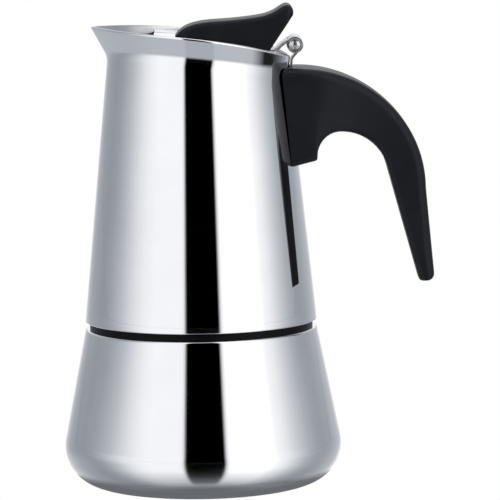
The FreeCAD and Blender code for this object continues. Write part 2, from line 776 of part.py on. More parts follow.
def knob_screw_places():
    return [value("knob_front_x + knob_screw_front"), value("knob_rear_x - knob_screw_rear")]


def knob_screw(x):
    """A pan-head screw from under the lid into the knob."""
    head_high = -value("lid_sheet + knuckle_gap")
    head_low = head_high - value("knob_screw_head")
    shank = upright(x, value("knob_screw_r"), head_low, value("knob_screw_reach"))
    return shank.fuse(upright(x, 2 * value("knob_screw_r"), head_low, head_high))


def screw_hole(shape):
    """The shape less the holes for both knob screws."""
    depth = value("knob_screw_reach") + value("lid_gap")
    for x in knob_screw_places():
        shape = shape.cut(upright(x, value("knob_screw_r + pin_play"), -depth, depth))
    return shape


BROW_SHAPE = ((0.05, -3.1), (0.16, -1.0), (0.42, 0.15), (0.66, 1.1))    # share of the length, height from the brow
TAIL_SHAPE = ((0.86, -1.7), (0.965, 0.0), (1.0, -1.6))                   # share of the length, height from the top


def knob_shape():
    """Side outline of the thumb knob: blunt nose, long brow, upswept tail, straight undercut rear."""
    front, tail, rear = value("knob_front_x"), value("knob_tip_x"), value("knob_rear_x")
    seat = value("lid_drop - pin_play")
    top = value("neck_z + knob_tip_rise")
    brow = value("neck_z + knob_brow")
    heel = flat(rear, rim_height(rear) - seat)
    tail_corner = flat(tail, top - value("knob_tail"))
    crown = [flat(front, rim_height(front) - seat)]
    crown += [flat(front + share * (tail - front), brow + rise) for share, rise in BROW_SHAPE]
    crown += [flat(front + share * (tail - front), top + rise) for share, rise in TAIL_SHAPE]
    upper = Part.BSplineCurve()
    upper.interpolate(crown + [tail_corner])
    bottom = rim_curve(front, rear, seat)
    back = line(tail_corner, heel)
    half = value("knob_half_width")
    knob = side_slab([upper.toShape(), bottom, back], half)
    return screw_hole(knob.cut(lid_leaf_shape(value("knuckle_gap"))))


def hinge_bracket_shape(extra):
    """Middle curl, sloping strap and a plate down the jug's rear wall; extra makes the recess in the handle."""
    half = value("knuckle_mid") / 2 + extra
    slope = value("strap_slope")
    gap = value("strap_gap")
    thick = value("leaf")
    bend_z = value("pin_z - strap_bend_drop")
    low, high, far_high, far_low = strap_points(slope - 90, 180 + slope, value("strap_bend_drop"))
    heights = [bend_z, bend_z - value("strap_bend"), value("neck_z - flare_height"), value("neck_z - strap_foot_drop")]
    inner = [flat(wall_radius(180, z) + gap, z) for z in heights]
    outer = [flat(wall_radius(180, z) + gap + thick + extra, z) for z in heights]
    outer[0] = meet(high, far_high, outer[0].x)
    strap = [low, high] + outer + inner[::-1]
    return side_slab(polyline(strap), half).fuse(knuckle(half, -half))


def meet(first, last, x):
    """The point at x on the line through two points."""
    share = (x - first.x) / (last.x - first.x)
    return first + (last - first) * share


# ---------------------------------------------------------------- handle

def ellipse_arc(centre, reach, rise, first, last):
    """An upright ellipse's arc between two angles in degrees, as a smooth curve."""
    points = []
    for step in range(9):
        turn = math.radians(first + (last - first) * step / 8)
        points.append(centre + flat(reach * math.cos(turn), rise * math.sin(turn)))
    curve = Part.BSplineCurve()
    curve.interpolate(points)
    return curve.toShape(), points[0], points[-1]


def handle_outline():
    """Side outline: block against the jug, arch, and a grip that hangs down to a blunt tip."""
    top = value("neck_z - handle_top_drop")
    start_x = value("handle_start_x")
    rise, reach = value("arch_rise"), value("arch_reach")
    foot_z = value("grip_foot_z")
    tip_x = value("handle_reach")
    tip_width = value("grip_tip_width")
    outer, arch_end, arch_start = ellipse_arc(flat(start_x, top - rise), reach, rise, 0, 90)
    crown = flat(value("gap_crown_x"), value("gap_top_z"))
    arc_r = value("gap_arc_r")
    turn = value("gap_turn")
    inner, gap_end, gap_crown = ellipse_arc(crown - flat(0, arc_r), arc_r, arc_r, 90 - turn, 90)
    block_x = value("block_inner_x")
    nook_drop = value("gap_nook")
    nook, nook_crown, nook_end = ellipse_arc(crown - flat(0, nook_drop), crown.x - block_x, nook_drop, 90, 180)
    block_z = value("neck_z - block_foot_drop")
    inside_x = value("neck_r - block_depth")
    foot = value("block_foot_slope")
    corner = flat(block_x, block_z)
    buried_low = flat(inside_x, block_z - foot * (block_x - inside_x))
    buried_top = flat(inside_x, top)
    bevel = value("grip_tip_bevel")
    tip_out = flat(tip_x, foot_z + bevel)
    tip_low = flat(tip_x - bevel, foot_z)
    tip_in = flat(tip_x - tip_width, foot_z)
    return [
        line(buried_top, arch_start), outer, line(arch_end, tip_out), line(tip_out, tip_low), line(tip_low, tip_in),
        line(tip_in, gap_end), inner, nook, line(nook_end, corner), line(corner, buried_low),
        line(buried_low, buried_top),
    ]


def plan_slab(low, high):
    """Plan outline of the handle: wide at the jug, narrowing to the grip."""
    rows = [
        (value("neck_r - block_depth"), value("block_half_width")),
        (value("block_inner_x"), value("block_half_width")),
        (value("waist_x"), value("waist_half_width")),
        (value("handle_reach") + 1, value("grip_half_width")),
    ]
    near = [FreeCAD.Vector(x, -half, low) for x, half in rows]
    far = [FreeCAD.Vector(x, half, low) for x, half in rows]
    face = Part.Face(Part.Wire(polyline(near + far[::-1])))
    return face.extrude(FreeCAD.Vector(0, 0, high - low))


def box_between(low, high):
    side = high - low
    return Part.makeBox(side.x, side.y, side.z, low)


def tongue_shape(extra):
    """Welded pad and tongue that carry the handle; extra makes the pocket for them."""
    half = value("tongue_half_width") + extra
    wall_x = value("neck_r + jug_taper * tongue_drop")
    thick = value("tongue_thick") / 2 + extra
    pad = value("pad_height") / 2 + extra
    middle = value("tongue_z")
    tongue = box_between(FreeCAD.Vector(wall_x - 3, -half, middle - thick),
                         FreeCAD.Vector(value("tongue_reach") + extra, half, middle + thick))
    plate = box_between(FreeCAD.Vector(wall_x - 3, -half, middle - pad),
                        FreeCAD.Vector(wall_x + value("pad_thick") + extra, half, middle + pad))
    return tongue.fuse(plate)


def screw_rod(radius, low, high):
    return Part.makeCylinder(radius, high - low, FreeCAD.Vector(value("screw_x"), 0, low))


def handle():
    jug_skin = jug_core(-value("handle_gap"), value("seam_z"))
    wall_skin = jug_core(-value("pin_play"), value("seam_z"))
    half = value("block_half_width")
    solid = side_slab(handle_outline(), half + 1)
    solid = solid.common(plan_slab(value("grip_foot_z") - 5, value("neck_z")))
    solid = solid.cut(jug_skin)
    solid = solid.cut(tongue_shape(value("handle_gap")))
    solid = solid.cut(hinge_bracket_shape(2 * value("handle_gap")))
    head_seat = value("gap_top_z + screw_cover")
    bottom = value("gap_top_z") - 3
    screw_top = value("tongue_z + tongue_thick")
    solid = solid.cut(screw_rod(value("screw_head_r + handle_gap"), bottom, head_seat))
    solid = solid.cut(screw_rod(value("screw_r + handle_gap"), bottom, screw_top + 1))
    shaped("handle", solid)
    bracket = tongue_shape(0.0).cut(wall_skin)
    shaped("handle_bracket", bracket.cut(screw_rod(value("screw_r + pin_play"), head_seat, screw_top + 1)))
    shank = screw_rod(value("screw_r"), head_seat - value("screw_head"), screw_top)
    head = screw_rod(value("screw_head_r"), head_seat - value("screw_head"), head_seat)
    shaped("handle_screw", shank.fuse(head))


# ---------------------------------------------------------------- build, check and write

def check(thing):
    bad = [state for state in thing.State if state in ("Invalid", "Error")]
    if bad:
        raise RuntimeError(f"{thing.Label}: {bad}")


def write():
    doc.recompute()
    for thing in doc.Objects:
        check(thing)
    os.makedirs("parts", exist_ok=True)
    for thing in NODES:
        shape = thing.Shape
        if shape.isNull() or not shape.isValid() or not shape.Solids:
            raise RuntimeError(f"{thing.Label}: no valid solid")
        shape.exportStep(os.path.join("parts", thing.Label + ".step"))
        print(f"{thing.Label:18s} {len(shape.Solids)} solids {shape.Volume:10.1f} mm3")


boiler()
safety_valve()
funnel()
seal()
jug()
lid()
handle()
write()
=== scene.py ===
import math

import bpy
import numpy as np
from mathutils import Matrix, Vector


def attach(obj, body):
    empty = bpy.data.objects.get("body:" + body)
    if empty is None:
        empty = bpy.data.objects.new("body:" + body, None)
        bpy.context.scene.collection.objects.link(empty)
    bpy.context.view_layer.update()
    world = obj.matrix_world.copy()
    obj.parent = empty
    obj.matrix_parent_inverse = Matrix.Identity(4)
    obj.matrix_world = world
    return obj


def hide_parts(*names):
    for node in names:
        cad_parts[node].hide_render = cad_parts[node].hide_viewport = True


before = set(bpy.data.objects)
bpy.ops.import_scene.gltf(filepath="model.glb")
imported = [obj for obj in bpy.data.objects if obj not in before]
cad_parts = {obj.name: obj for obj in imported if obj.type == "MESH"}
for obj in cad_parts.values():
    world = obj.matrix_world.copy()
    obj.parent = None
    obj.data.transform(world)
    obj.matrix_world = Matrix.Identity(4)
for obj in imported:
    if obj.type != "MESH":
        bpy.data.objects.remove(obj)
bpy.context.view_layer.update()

# Stovetop coffee maker of polished steel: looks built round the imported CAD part. Sizes are millimetres until a mesh
# is made. Origin: centre of the boiler's base, +Z up, +X towards the handle, spout at -X.

MM = 0.001

STEEL = 1.0
BOILER_TOP, SEAM, NECK = 56.9, 59.5, 155.7
NECK_TOP, FLOOR, FLOOR_TOP = 67.5, 72.1, 73.1
NECK_R, JUG_FOOT_R = 32.1, 41.9
TAPER = (JUG_FOOT_R - NECK_R) / (NECK - SEAM)
FOOT_R, CREST_R = 53.2, 41.8
LEAN = (FOOT_R - CREST_R) / BOILER_TOP
LID_DROP, LID_SHEET = 1.3, 0.8
PIN_X, PIN_Z, PIN_R = 35.25, 158.9, 2.05
STRAP = 0.85


# ---------------------------------------------------------------- meshes from point grids

def welded(points, rows_close):
    """Faces of a point grid whose columns close on themselves. Points in one place become one, so a row that shrinks
    to a point or a line is shut, and faces are turned so that the volume they hold is positive."""
    rows, columns = points.shape[:2]
    places = points.reshape(-1, 3)
    _, first, same = np.unique(np.round(places / 1e-4).astype(np.int64), axis=0, return_index=True, return_inverse=True)
    index = same.reshape(rows, columns)
    low = index if rows_close else index[:-1]
    high = np.roll(index, -1, axis=0) if rows_close else index[1:]
    quads = np.stack([low, np.roll(low, -1, axis=1), np.roll(high, -1, axis=1), high], axis=-1).reshape(-1, 4)
    spots = places[first]
    equal = quads == np.roll(quads, -1, axis=1)
    crossed = (quads[:, 0] == quads[:, 2]) | (quads[:, 1] == quads[:, 3])
    count = equal.sum(axis=1)
    squares = quads[(count == 0) & ~crossed]
    tips = quads[(count == 1) & ~crossed]
    gone = equal[(count == 1) & ~crossed].argmax(axis=1)
    keep = np.ones(tips.shape, bool)
    keep[np.arange(len(tips)), gone] = False
    triangles = tips[keep].reshape(-1, 3)
    corners = np.concatenate([squares[:, [0, 1, 2]], squares[:, [0, 2, 3]], triangles])
    a, b, c = (spots[corners[:, k]] for k in range(3))
    if np.einsum("ij,ij->", a, np.cross(b, c)) < 0:
        squares, triangles = squares[:, ::-1], triangles[:, ::-1]
    return spots, squares, triangles


def piece(name, grids, body, nodes, finish, sharp=38.0, inside=None):
    """One object from closed point grids in millimetres, riding on a body and standing for CAD nodes. Faces that look
    towards the vertical axis may take a finish of their own."""
    spots, faces, start = [], [], 0
    for grid in grids:
        points, rows_close = grid if isinstance(grid, tuple) else (grid, False)
        places, squares, triangles = welded(points, rows_close)
        spots.append(places)
        faces += (squares + start).tolist() + (triangles + start).tolist()
        start += len(places)
    mesh = bpy.data.meshes.new(name + "_surface")
    mesh.from_pydata((np.concatenate(spots) * MM).tolist(), [], faces)
    mesh.polygons.foreach_set("use_smooth", np.ones(len(mesh.polygons), bool))
    mesh.set_sharp_from_angle(angle=math.radians(sharp))
    mesh.materials.append(finish)
    if inside:
        count = len(mesh.polygons)
        ways, middles = np.zeros(count * 3), np.zeros(count * 3)
        mesh.polygons.foreach_get("normal", ways)
        mesh.polygons.foreach_get("center", middles)
        ways, middles = ways.reshape(-1, 3)[:, :2], middles.reshape(-1, 3)[:, :2]
        facing = (ways * middles).sum(axis=1) < -0.5 * np.linalg.norm(middles, axis=1)
        mesh.materials.append(inside)
        mesh.polygons.foreach_set("material_index", facing.astype(np.int32))
    made = bpy.data.objects.new(name + "_surface", mesh)
    bpy.context.scene.collection.objects.link(made)
    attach(made, body)
    if nodes:
        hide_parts(*nodes)
    return made


def rounded(corners, closed=True, steps=6, support=0.15):
    """Outline through corners (radius, height, round): straight sides, a circular arc at each round, and a point just
    inside each end of a long side, which keeps its shading flat."""
    count = len(corners)
    spots = [np.array(c[:2], float) for c in corners]
    rounds = [c[2] if len(c) > 2 else 0.0 for c in corners]
    starts, ends, arcs = [], [], []
    for i, spot in enumerate(spots):
        if rounds[i] <= 0:
            arcs.append([spot])
            continue
        back = spots[i - 1] - spot
        ahead = spots[(i + 1) % count] - spot
        back, ahead = back / np.linalg.norm(back), ahead / np.linalg.norm(ahead)
        half = math.acos(np.clip(back @ ahead, -1, 1)) / 2
        middle = (back + ahead) / np.linalg.norm(back + ahead)
        centre = spot + middle * rounds[i] / math.sin(half)
        first, last = spot + back * rounds[i] / math.tan(half), spot + ahead * rounds[i] / math.tan(half)
        turn = np.linspace(0, 1, steps + 1)
        sweep = math.pi - 2 * half
        u, v = first - centre, last - centre
        arcs.append([centre + (u * math.sin((1 - t) * sweep) + v * math.sin(t * sweep)) / math.sin(sweep) for t in turn])
    line = []
    for i in range(count):
        line += arcs[i]
        if i == count - 1 and not closed:
            break
        a, b = arcs[i][-1], arcs[(i + 1) % count][0]
        length = np.linalg.norm(b - a)
        if length > 4 * support:
            line += [a + (b - a) * support / length, b - (b - a) * support / length]
    return np.array(line)


def lathe(outline, columns=192, closed=True):
    """An outline (radius, height) turned about the vertical axis."""
    turn = np.linspace(0, 2 * math.pi, columns, endpoint=False)
    r, z = outline[:, :1], outline[:, 1:]
    flat = np.ones_like(turn)
    return np.stack([r * np.cos(turn), r * np.sin(turn), z * flat], axis=-1), closed


def stood(grid, foot, axis):
    """A grid made about +Z, moved to stand on a foot along an axis."""
    points, closed = grid
    turn = np.array(Vector((0, 0, 1)).rotation_difference(Vector(axis)).to_matrix())
    return points @ turn.T + np.array(foot, float), closed


def eased(value, low, high):
    """0 below low, 1 above high, and a smooth S between them."""
    t = np.clip((value - low) / (high - low), 0, 1)
    return t * t * (3 - 2 * t)


def spline(points, count):
    """A natural cubic curve through points, with a parameter that follows the chords, sampled evenly."""
    spots = np.array(points, float)
    knots = np.concatenate([[0], np.cumsum(np.linalg.norm(np.diff(spots, axis=0), axis=1))])
    step = np.diff(knots)
    n = len(spots)
    system, right = np.eye(n), np.zeros((n, 2))
    for i in range(1, n - 1):
        system[i, i - 1:i + 2] = step[i - 1], 2 * (step[i - 1] + step[i]), step[i]
        right[i] = 6 * ((spots[i + 1] - spots[i]) / step[i] - (spots[i] - spots[i - 1]) / step[i - 1])
    curve = np.linalg.solve(system, right)
    at = np.linspace(0, knots[-1], count)
    i = np.clip(np.searchsorted(knots, at, side="right") - 1, 0, n - 2)
    h = step[i][:, None]
    a, b = (knots[i + 1] - at)[:, None] / h, (at - knots[i])[:, None] / h
    bend = ((a ** 3 - a) * curve[i] + (b ** 3 - b) * curve[i + 1]) * h ** 2 / 6
    return a * spots[i] + b * spots[i + 1] + bend


def spread(points, count):
    """Points at even steps of length along a polyline."""
    spots = np.array(points, float)
    run = np.concatenate([[0], np.cumsum(np.linalg.norm(np.diff(spots, axis=0), axis=1))])
    at = np.linspace(0, run[-1], count)
    return np.stack([np.interp(at, run, spots[:, k]) for k in range(2)], axis=1)


def beam(low, high, half, round_low, round_high, centre=0.0, arc=6, flats=6, caps=8):
    """A bar seen from the side between a low and a high line of (x, z) points. Each section is a rounded rectangle
    that stands on the low point and reaches the high one, half a width to each side. The end sections shrink towards
    their middle line. Returns the grid and each row's station."""
    low, high = np.asarray(low, float), np.asarray(high, float)
    tall = np.maximum(np.linalg.norm(high - low, axis=1), 1e-6)[:, None]
    width = np.asarray(half(low[:, 0], high[:, 0]), float)[:, None] * np.ones_like(tall)
    soft_low = np.minimum(np.minimum(round_low, 0.45 * tall), 0.9 * width)
    soft_high = np.minimum(np.minimum(round_high, 0.45 * tall), 0.9 * width)
    turn = np.linspace(0, math.pi / 2, arc + 1)[None]
    even = np.linspace(0, 1, flats + 1)[None, 1:-1]
    rise = [0 * even, soft_low * (1 - np.cos(turn)), soft_low + (tall - soft_low - soft_high) * even,
            tall - soft_high * (1 - np.sin(turn)), tall + 0 * even]
    side = [(width - soft_low) * even, width - soft_low + soft_low * np.sin(turn), width + 0 * even,
            width - soft_high + soft_high * np.cos(turn), (width - soft_high) * (1 - even)]
    rise = np.concatenate([part * np.ones_like(tall) for part in rise], axis=1)
    side = np.concatenate([part * np.ones_like(tall) for part in side], axis=1)
    rise = np.concatenate([0 * tall, rise, tall, rise[:, ::-1]], axis=1)
    side = np.concatenate([0 * tall, side, 0 * tall, -side[:, ::-1]], axis=1)
    rows, stations = [], []

    def ring(s, share):
        small = min(tall[s, 0] / 2, width[s, 0])
        up = tall[s, 0] / 2 + (rise[s] - tall[s, 0] / 2) * (1 - share * small / (tall[s, 0] / 2))
        out = side[s] * (1 - share * small / width[s, 0])
        along = (high[s] - low[s]) / tall[s, 0]
        rows.append(np.stack([low[s, 0] + along[0] * up, centre + out, low[s, 1] + along[1] * up], axis=-1))
        stations.append(s)

    last = len(low) - 1
    for step in range(caps, 0, -1):
        ring(0, step / caps)
    for s in range(last + 1):
        ring(s, 0.0)
    for step in range(1, caps + 1):
        ring(last, step / caps)
    return np.array(rows), np.array(stations)


def ribbon(path, thick, low_y, high_y, soft=0.22):
    """A strip of sheet that follows a side path of (x, z) points."""
    path = np.asarray(path, float)
    ahead = np.gradient(path, axis=0)
    ahead /= np.linalg.norm(ahead, axis=1)[:, None]
    across = np.stack([-ahead[:, 1], ahead[:, 0]], axis=1) * thick / 2
    half = (high_y - low_y) / 2
    grid, _ = beam(path - across, path + across, lambda a, b: half + 0 * a, soft, soft, (low_y + high_y) / 2, 4, 3, 3)
    return grid


# ---------------------------------------------------------------- finishes

def nodes_of(name):
    made = bpy.data.materials.new(name)
    made.use_nodes = True
    tree = made.node_tree
    return made, tree, tree.nodes["Principled BSDF"]


def math_node(tree, kind, first, second):
    made = tree.nodes.new("ShaderNodeMath")
    made.operation = kind
    for socket, value in zip(made.inputs, (first, second)):
        if isinstance(value, bpy.types.NodeSocket):
            tree.links.new(value, socket)
        else:
            socket.default_value = value
    return made.outputs[0]


def ranged(tree, value, low, high, start=0.3, end=0.7):
    made = tree.nodes.new("ShaderNodeMapRange")
    made.inputs["From Min"].default_value = start
    made.inputs["From Max"].default_value = end
    made.inputs["To Min"].default_value = low
    made.inputs["To Max"].default_value = high
    tree.links.new(value, made.inputs["Value"])
    return made.outputs["Result"]


def noise(tree, place, size, detail=4.0, stretch=(1, 1, 1)):
    """A noise whose lumps are about size millimetres, stretched along axes by the factors given."""
    turn = tree.nodes.new("ShaderNodeMapping")
    turn.inputs["Scale"].default_value = [1 / s for s in stretch]
    tree.links.new(place, turn.inputs["Vector"])
    made = tree.nodes.new("ShaderNodeTexNoise")
    made.inputs["Scale"].default_value = 1 / (size * MM)
    made.inputs["Detail"].default_value = detail
    tree.links.new(turn.outputs["Vector"], made.inputs["Vector"])
    return made.outputs["Fac"]


def finish(name, dark, light, rough, relief, metallic=1.0, patch=14.0, grain=0.35, stretch=(1, 1, 1), sockets=()):
    """Colour and gloss wander slowly over patches; a fine grain, stretched along the tool's marks, lifts the surface
    by the relief in millimetres and shifts the gloss a little."""
    made, tree, shader = nodes_of(name)
    place = tree.nodes.new("ShaderNodeTexCoord").outputs["Object"]
    cloud = noise(tree, place, patch, 3.0)
    fine = noise(tree, place, grain, 3.0, stretch)
    tint = tree.nodes.new("ShaderNodeMix")
    tint.data_type = "RGBA"
    tint.inputs["A"].default_value = (*dark, 1)
    tint.inputs["B"].default_value = (*light, 1)
    tree.links.new(ranged(tree, cloud, 0, 1), tint.inputs["Factor"])
    tree.links.new(tint.outputs["Result"], shader.inputs["Base Color"])
    shine = math_node(tree, "ADD", ranged(tree, cloud, rough[0], rough[1]), ranged(tree, fine, 0, rough[2]))
    tree.links.new(shine, shader.inputs["Roughness"])
    lift = tree.nodes.new("ShaderNodeBump")
    lift.inputs["Strength"].default_value = 1.0
    lift.inputs["Distance"].default_value = relief * MM
    tree.links.new(fine, lift.inputs["Height"])
    tree.links.new(lift.outputs["Normal"], shader.inputs["Normal"])
    shader.inputs["Metallic"].default_value = metallic
    for socket, value in sockets:
        shader.inputs[socket].default_value = value
    return made


ROUND_MARKS = (40, 40, 1)
polished = finish("mirror_polished_steel", (0.84, 0.85, 0.87), (0.88, 0.89, 0.905), (0.02, 0.04, 0.015), 0.00035,
                  patch=22.0, grain=0.9, stretch=(14, 14, 1))
satin = finish("satin_turned_steel", (0.60, 0.61, 0.62), (0.72, 0.73, 0.74), (0.24, 0.32, 0.08), 0.006,
               grain=0.18, stretch=ROUND_MARKS, sockets=(("Anisotropic", 0.5),))
plain_steel = finish("pressed_steel_inside", (0.66, 0.67, 0.68), (0.78, 0.79, 0.80), (0.14, 0.22, 0.06), 0.003,
                     grain=0.3, stretch=ROUND_MARKS)
hinge_steel = finish("tumbled_hinge_steel", (0.62, 0.62, 0.63), (0.80, 0.80, 0.80), (0.12, 0.22, 0.1), 0.008,
                     patch=2.5, grain=0.25, stretch=(1, 6, 1))
plated = finish("plated_screw_steel", (0.62, 0.63, 0.65), (0.78, 0.79, 0.80), (0.10, 0.18, 0.05), 0.003, patch=3.0)
wire = finish("drawn_spring_wire", (0.5, 0.5, 0.52), (0.66, 0.66, 0.68), (0.15, 0.25, 0.05), 0.002, patch=2.0)
brass = finish("turned_brass", (0.62, 0.42, 0.17), (0.80, 0.60, 0.28), (0.18, 0.28, 0.08), 0.004,
               patch=4.0, grain=0.2, stretch=(12, 2, 12))
silicone = finish("moulded_silicone", (0.74, 0.73, 0.69), (0.84, 0.83, 0.80), (0.45, 0.55, 0.08), 0.01, 0.0,
                  patch=9.0, grain=0.5)
fibre = finish("fibre_washer", (0.10, 0.07, 0.055), (0.20, 0.15, 0.12), (0.7, 0.8, 0.1), 0.03, 0.0,
               patch=2.0, grain=0.4)
plastic = finish("satin_black_phenolic", (0.0074, 0.0080, 0.0102), (0.0094, 0.0101, 0.0126), (0.36, 0.43, 0.06), 0.004,
                 0.0, patch=10.0, grain=0.45, sockets=(("Specular IOR Level", 0.30),
                                                       ("Specular Tint", (0.80, 0.87, 1.0, 1.0))))


def painted_slot_shade(steel):
    """The neck's steel with painted shade on the band that shows in the slot: below the slot's top the colour falls to
    near black and the metal and gloss fall too, standing in for the slot's deep shade, a little uneven along its edge."""
    made = steel.copy()
    made.name = "neck_steel_with_painted_shade"
    tree = made.node_tree
    shader = tree.nodes["Principled BSDF"]
    place = tree.nodes.new("ShaderNodeTexCoord").outputs["Object"]
    split = tree.nodes.new("ShaderNodeSeparateXYZ")
    tree.links.new(place, split.inputs[0])
    edge = math_node(tree, "ADD", split.outputs["Z"], ranged(tree, noise(tree, place, 1.5), -0.00015, 0.00015))
    # Painted shade: below the slot's top the colour, metal and gloss drop to near black, where the slot lies in shade.
    shade_tint = tree.nodes.new("ShaderNodeMix")
    shade_tint.data_type = "RGBA"
    shade_tint.inputs["A"].default_value = (0.004, 0.004, 0.005, 1)
    tree.links.new(ranged(tree, edge, 0, 1, 0.0594, 0.0602), shade_tint.inputs["Factor"])
    tree.links.new(shader.inputs["Base Color"].links[0].from_socket, shade_tint.inputs["B"])
    tree.links.new(shade_tint.outputs["Result"], shader.inputs["Base Color"])
    tree.links.new(ranged(tree, edge, 0, 1, 0.0594, 0.0602), shader.inputs["Metallic"])
    tree.links.new(ranged(tree, edge, 0.1, 0.5, 0.0594, 0.0602), shader.inputs["Specular IOR Level"])
    return made


# ---------------------------------------------------------------- jug's wall, flare and rim

def fade(angle):
    """Share of the spout at an angle in degrees from it: 1 at its tip, then a smooth fall with distance."""
    return np.exp(-(np.hypot(angle, 3.0) - 3.0) / 22.0)


def rim_height(x):
    """Height of the rim: a straight slope behind the tip, less a fourth-power fall towards the hinge."""
    along = np.maximum(0.0, x + NECK_R + 0.54 * 10.5)
    return NECK + 10.5 - 0.075 * along - 5.9 * (along / 71.4) ** 4


def bend_height(angle):
    """Height where the cone turns out into the flare."""
    return rim_height(-NECK_R * np.cos(np.radians(angle))) - 7.6 - 2.9 * fade(angle)


def wall_radius(angle, height):
    """Outside radius of the jug: a cone, plus the flare's lean above a rounded bend."""
    cone = NECK_R + TAPER * (NECK - height)
    lean = 0.12 + 0.42 * fade(angle) + TAPER
    rise = height - bend_height(angle)
    round_part = lean * (np.clip(rise, -2.6, 2.6) + 2.6) ** 2 / (4 * 2.6)
    return cone + round_part + lean * np.maximum(rise - 2.6, 0)


def wall_x(y, z, gap=0.0):
    """Where the jug's rear wall stands at a place across and a height."""
    reach = wall_radius(180.0, z) + gap
    return np.sqrt(np.maximum(reach ** 2 - y ** 2, 1.0))


def jug_shell():
    """The wall as a closed sheet: up the outside, over a half-round rim, down the inside and back under the foot.
    Rows follow the bend and the rim at each angle, so the flare's lines run round it."""
    columns = 432
    angle = np.linspace(-180, 180, columns, endpoint=False)
    turn, off = np.radians(angle), np.abs(angle)
    bend = bend_height(off)
    rim = np.full(columns, NECK + 5.0)
    for _ in range(60):
        rim = 0.5 * rim + 0.5 * rim_height(-wall_radius(off, rim) * np.cos(turn))
    foot, lip = 0.45, STEEL / 2
    rows = []
    for share in np.linspace(0, 1, 6)[:-1]:
        height = SEAM + foot * (1 - math.cos(share * math.pi / 2))
        rows.append((wall_radius(off, height) - foot * (1 - math.sin(share * math.pi / 2)), height + 0 * off))
    levels = [SEAM + foot + (bend - 2.7 - SEAM - foot) * t for t in np.linspace(0, 1, 26)]
    levels += [bend + rise for rise in np.linspace(-2.6, 2.6, 21)]
    levels += [bend + 2.6 + (rim - lip - bend - 2.6) * t for t in np.linspace(0, 1, 13)[1:]]
    rows += [(wall_radius(off, level), level) for level in levels]
    for share in np.linspace(0, 1, 9)[1:-1]:
        reach = wall_radius(off, rim - lip) - lip + lip * math.cos(share * math.pi)
        rows.append((reach, rim - lip + lip * math.sin(share * math.pi)))
    rows += [(wall_radius(off, level) - STEEL, level) for level in levels[::-1]]
    inner = 38.42
    rows += [(wall_radius(off, SEAM + STEEL) - STEEL, SEAM + STEEL + 0 * off), (inner + 0.3 + 0 * off, SEAM + STEEL + 0 * off),
             (inner + 0 * off, SEAM + STEEL + 0 * off), (inner + 0 * off, SEAM + 0 * off), (inner + 0.3 + 0 * off, SEAM + 0 * off)]
    grid = np.array([np.stack([-r * np.cos(turn), r * np.sin(turn), z + 0 * turn], axis=-1) for r, z in rows])
    piece("jug_shell", [(grid, True)], "jug", ["jug_shell"], polished, inside=plain_steel)


# ---------------------------------------------------------------- boiler

def thread(root, out, low, high, foot, columns=240, rows=64):
    """Rows of a wall that carries a right-hand helical ridge of 3 mm pitch, fading in and out near its ends."""
    turn = np.linspace(0, 2 * math.pi, columns, endpoint=False)[None]
    z = np.linspace(low, high, rows)[:, None]
    phase = ((z - foot) / 3.0 - turn / (2 * math.pi)) % 1.0
    ridge = eased(1 - np.abs(phase - 0.5) / 0.3, 0, 1) * eased(z, 60.2, 61.6) * (1 - eased(z, high - 2.4, high - 1.0))
    r = root + out * ridge
    return np.stack([r * np.cos(turn), r * np.sin(turn), z + 0 * turn], axis=-1)


def boiler():
    inner_foot = FOOT_R - STEEL - STEEL * LEAN
    outline = rounded([(0, 0), (FOOT_R - 0.015, 0, 14.0), (CREST_R, BOILER_TOP, 0.9), (35.0, BOILER_TOP),
                       (35.0, BOILER_TOP - STEEL), (CREST_R - STEEL, BOILER_TOP - STEEL), (inner_foot, STEEL, 13.0),
                       (0, STEEL)], closed=False, steps=22, support=0.4)
    piece("boiler_shell", [lathe(outline, 360, False)], "boiler", ["boiler_shell"], polished)
    band = rounded([(35.0, BOILER_TOP), (CREST_R - 1.5, BOILER_TOP), (CREST_R - 1.5, SEAM - 0.3, 0.4), (35.0, SEAM - 0.3)], closed=False)
    outside = thread(35.0, 0.6, SEAM - 0.1, NECK_TOP - 0.3, BOILER_TOP + 0.9)
    rest = rounded([(34.8, NECK_TOP, 0.0), (33.2, NECK_TOP), (33.0, NECK_TOP - 0.2), (33.0, BOILER_TOP - 2),
                    (36.0, BOILER_TOP - 2), (36.0, BOILER_TOP - 1), (35.0, BOILER_TOP - 1)], closed=False)
    # The neck ring carries painted shade on its band in the slot.
    piece("boiler_neck_ring", [(np.concatenate([lathe(band, 240)[0], outside, lathe(rest, 240)[0]]), True)],
          "boiler", ["boiler_neck_ring"], painted_slot_shade(satin))


# ---------------------------------------------------------------- safety valve, square to the slanted wall

VALVE_Z = BOILER_TOP - 18.9
VALVE_FOOT = (0, FOOT_R - VALVE_Z * LEAN + 0.3, VALVE_Z)
VALVE_AXIS = (0, math.cos(math.atan(LEAN)), math.sin(math.atan(LEAN)))


def on_valve(outline, columns=96, closed=True):
    return stood(lathe(np.asarray(outline, float), columns, closed), VALVE_FOOT, VALVE_AXIS)


def hexed(low, high, flats, bore, columns=144):
    """A hexagon nut: each height's radius is the smaller of the hexagon's and a 30 degree chamfer cone's."""
    turn = np.linspace(0, 2 * math.pi, columns, endpoint=False)[None]
    part = (turn + math.pi / 6) % (math.pi / 3) - math.pi / 6
    edge = flats / 2 / np.cos(part)
    tall = high - low
    z = np.array([0, 0.12, 0.5, 0.9, tall / 2, tall - 0.9, tall - 0.5, tall - 0.12, tall])[:, None]
    face = flats / 2 * 0.97
    cone = face + np.minimum(z, tall - z) * 1.732
    soft = 0.12
    r = -np.log(np.exp(-edge / soft) + np.exp(-cone / soft)) * soft
    wall = np.stack([r * np.cos(turn), r * np.sin(turn), z + low + 0 * turn], axis=-1)
    inside = [np.stack([b * np.cos(turn[0]), b * np.sin(turn[0]), h + 0 * turn[0]], axis=-1)
              for b, h in ((bore + 0.3, high), (bore, high - 0.3), (bore, low + 0.3), (bore + 0.3, low))]
    return stood((np.concatenate([wall, np.array(inside)]), True), VALVE_FOOT, VALVE_AXIS)


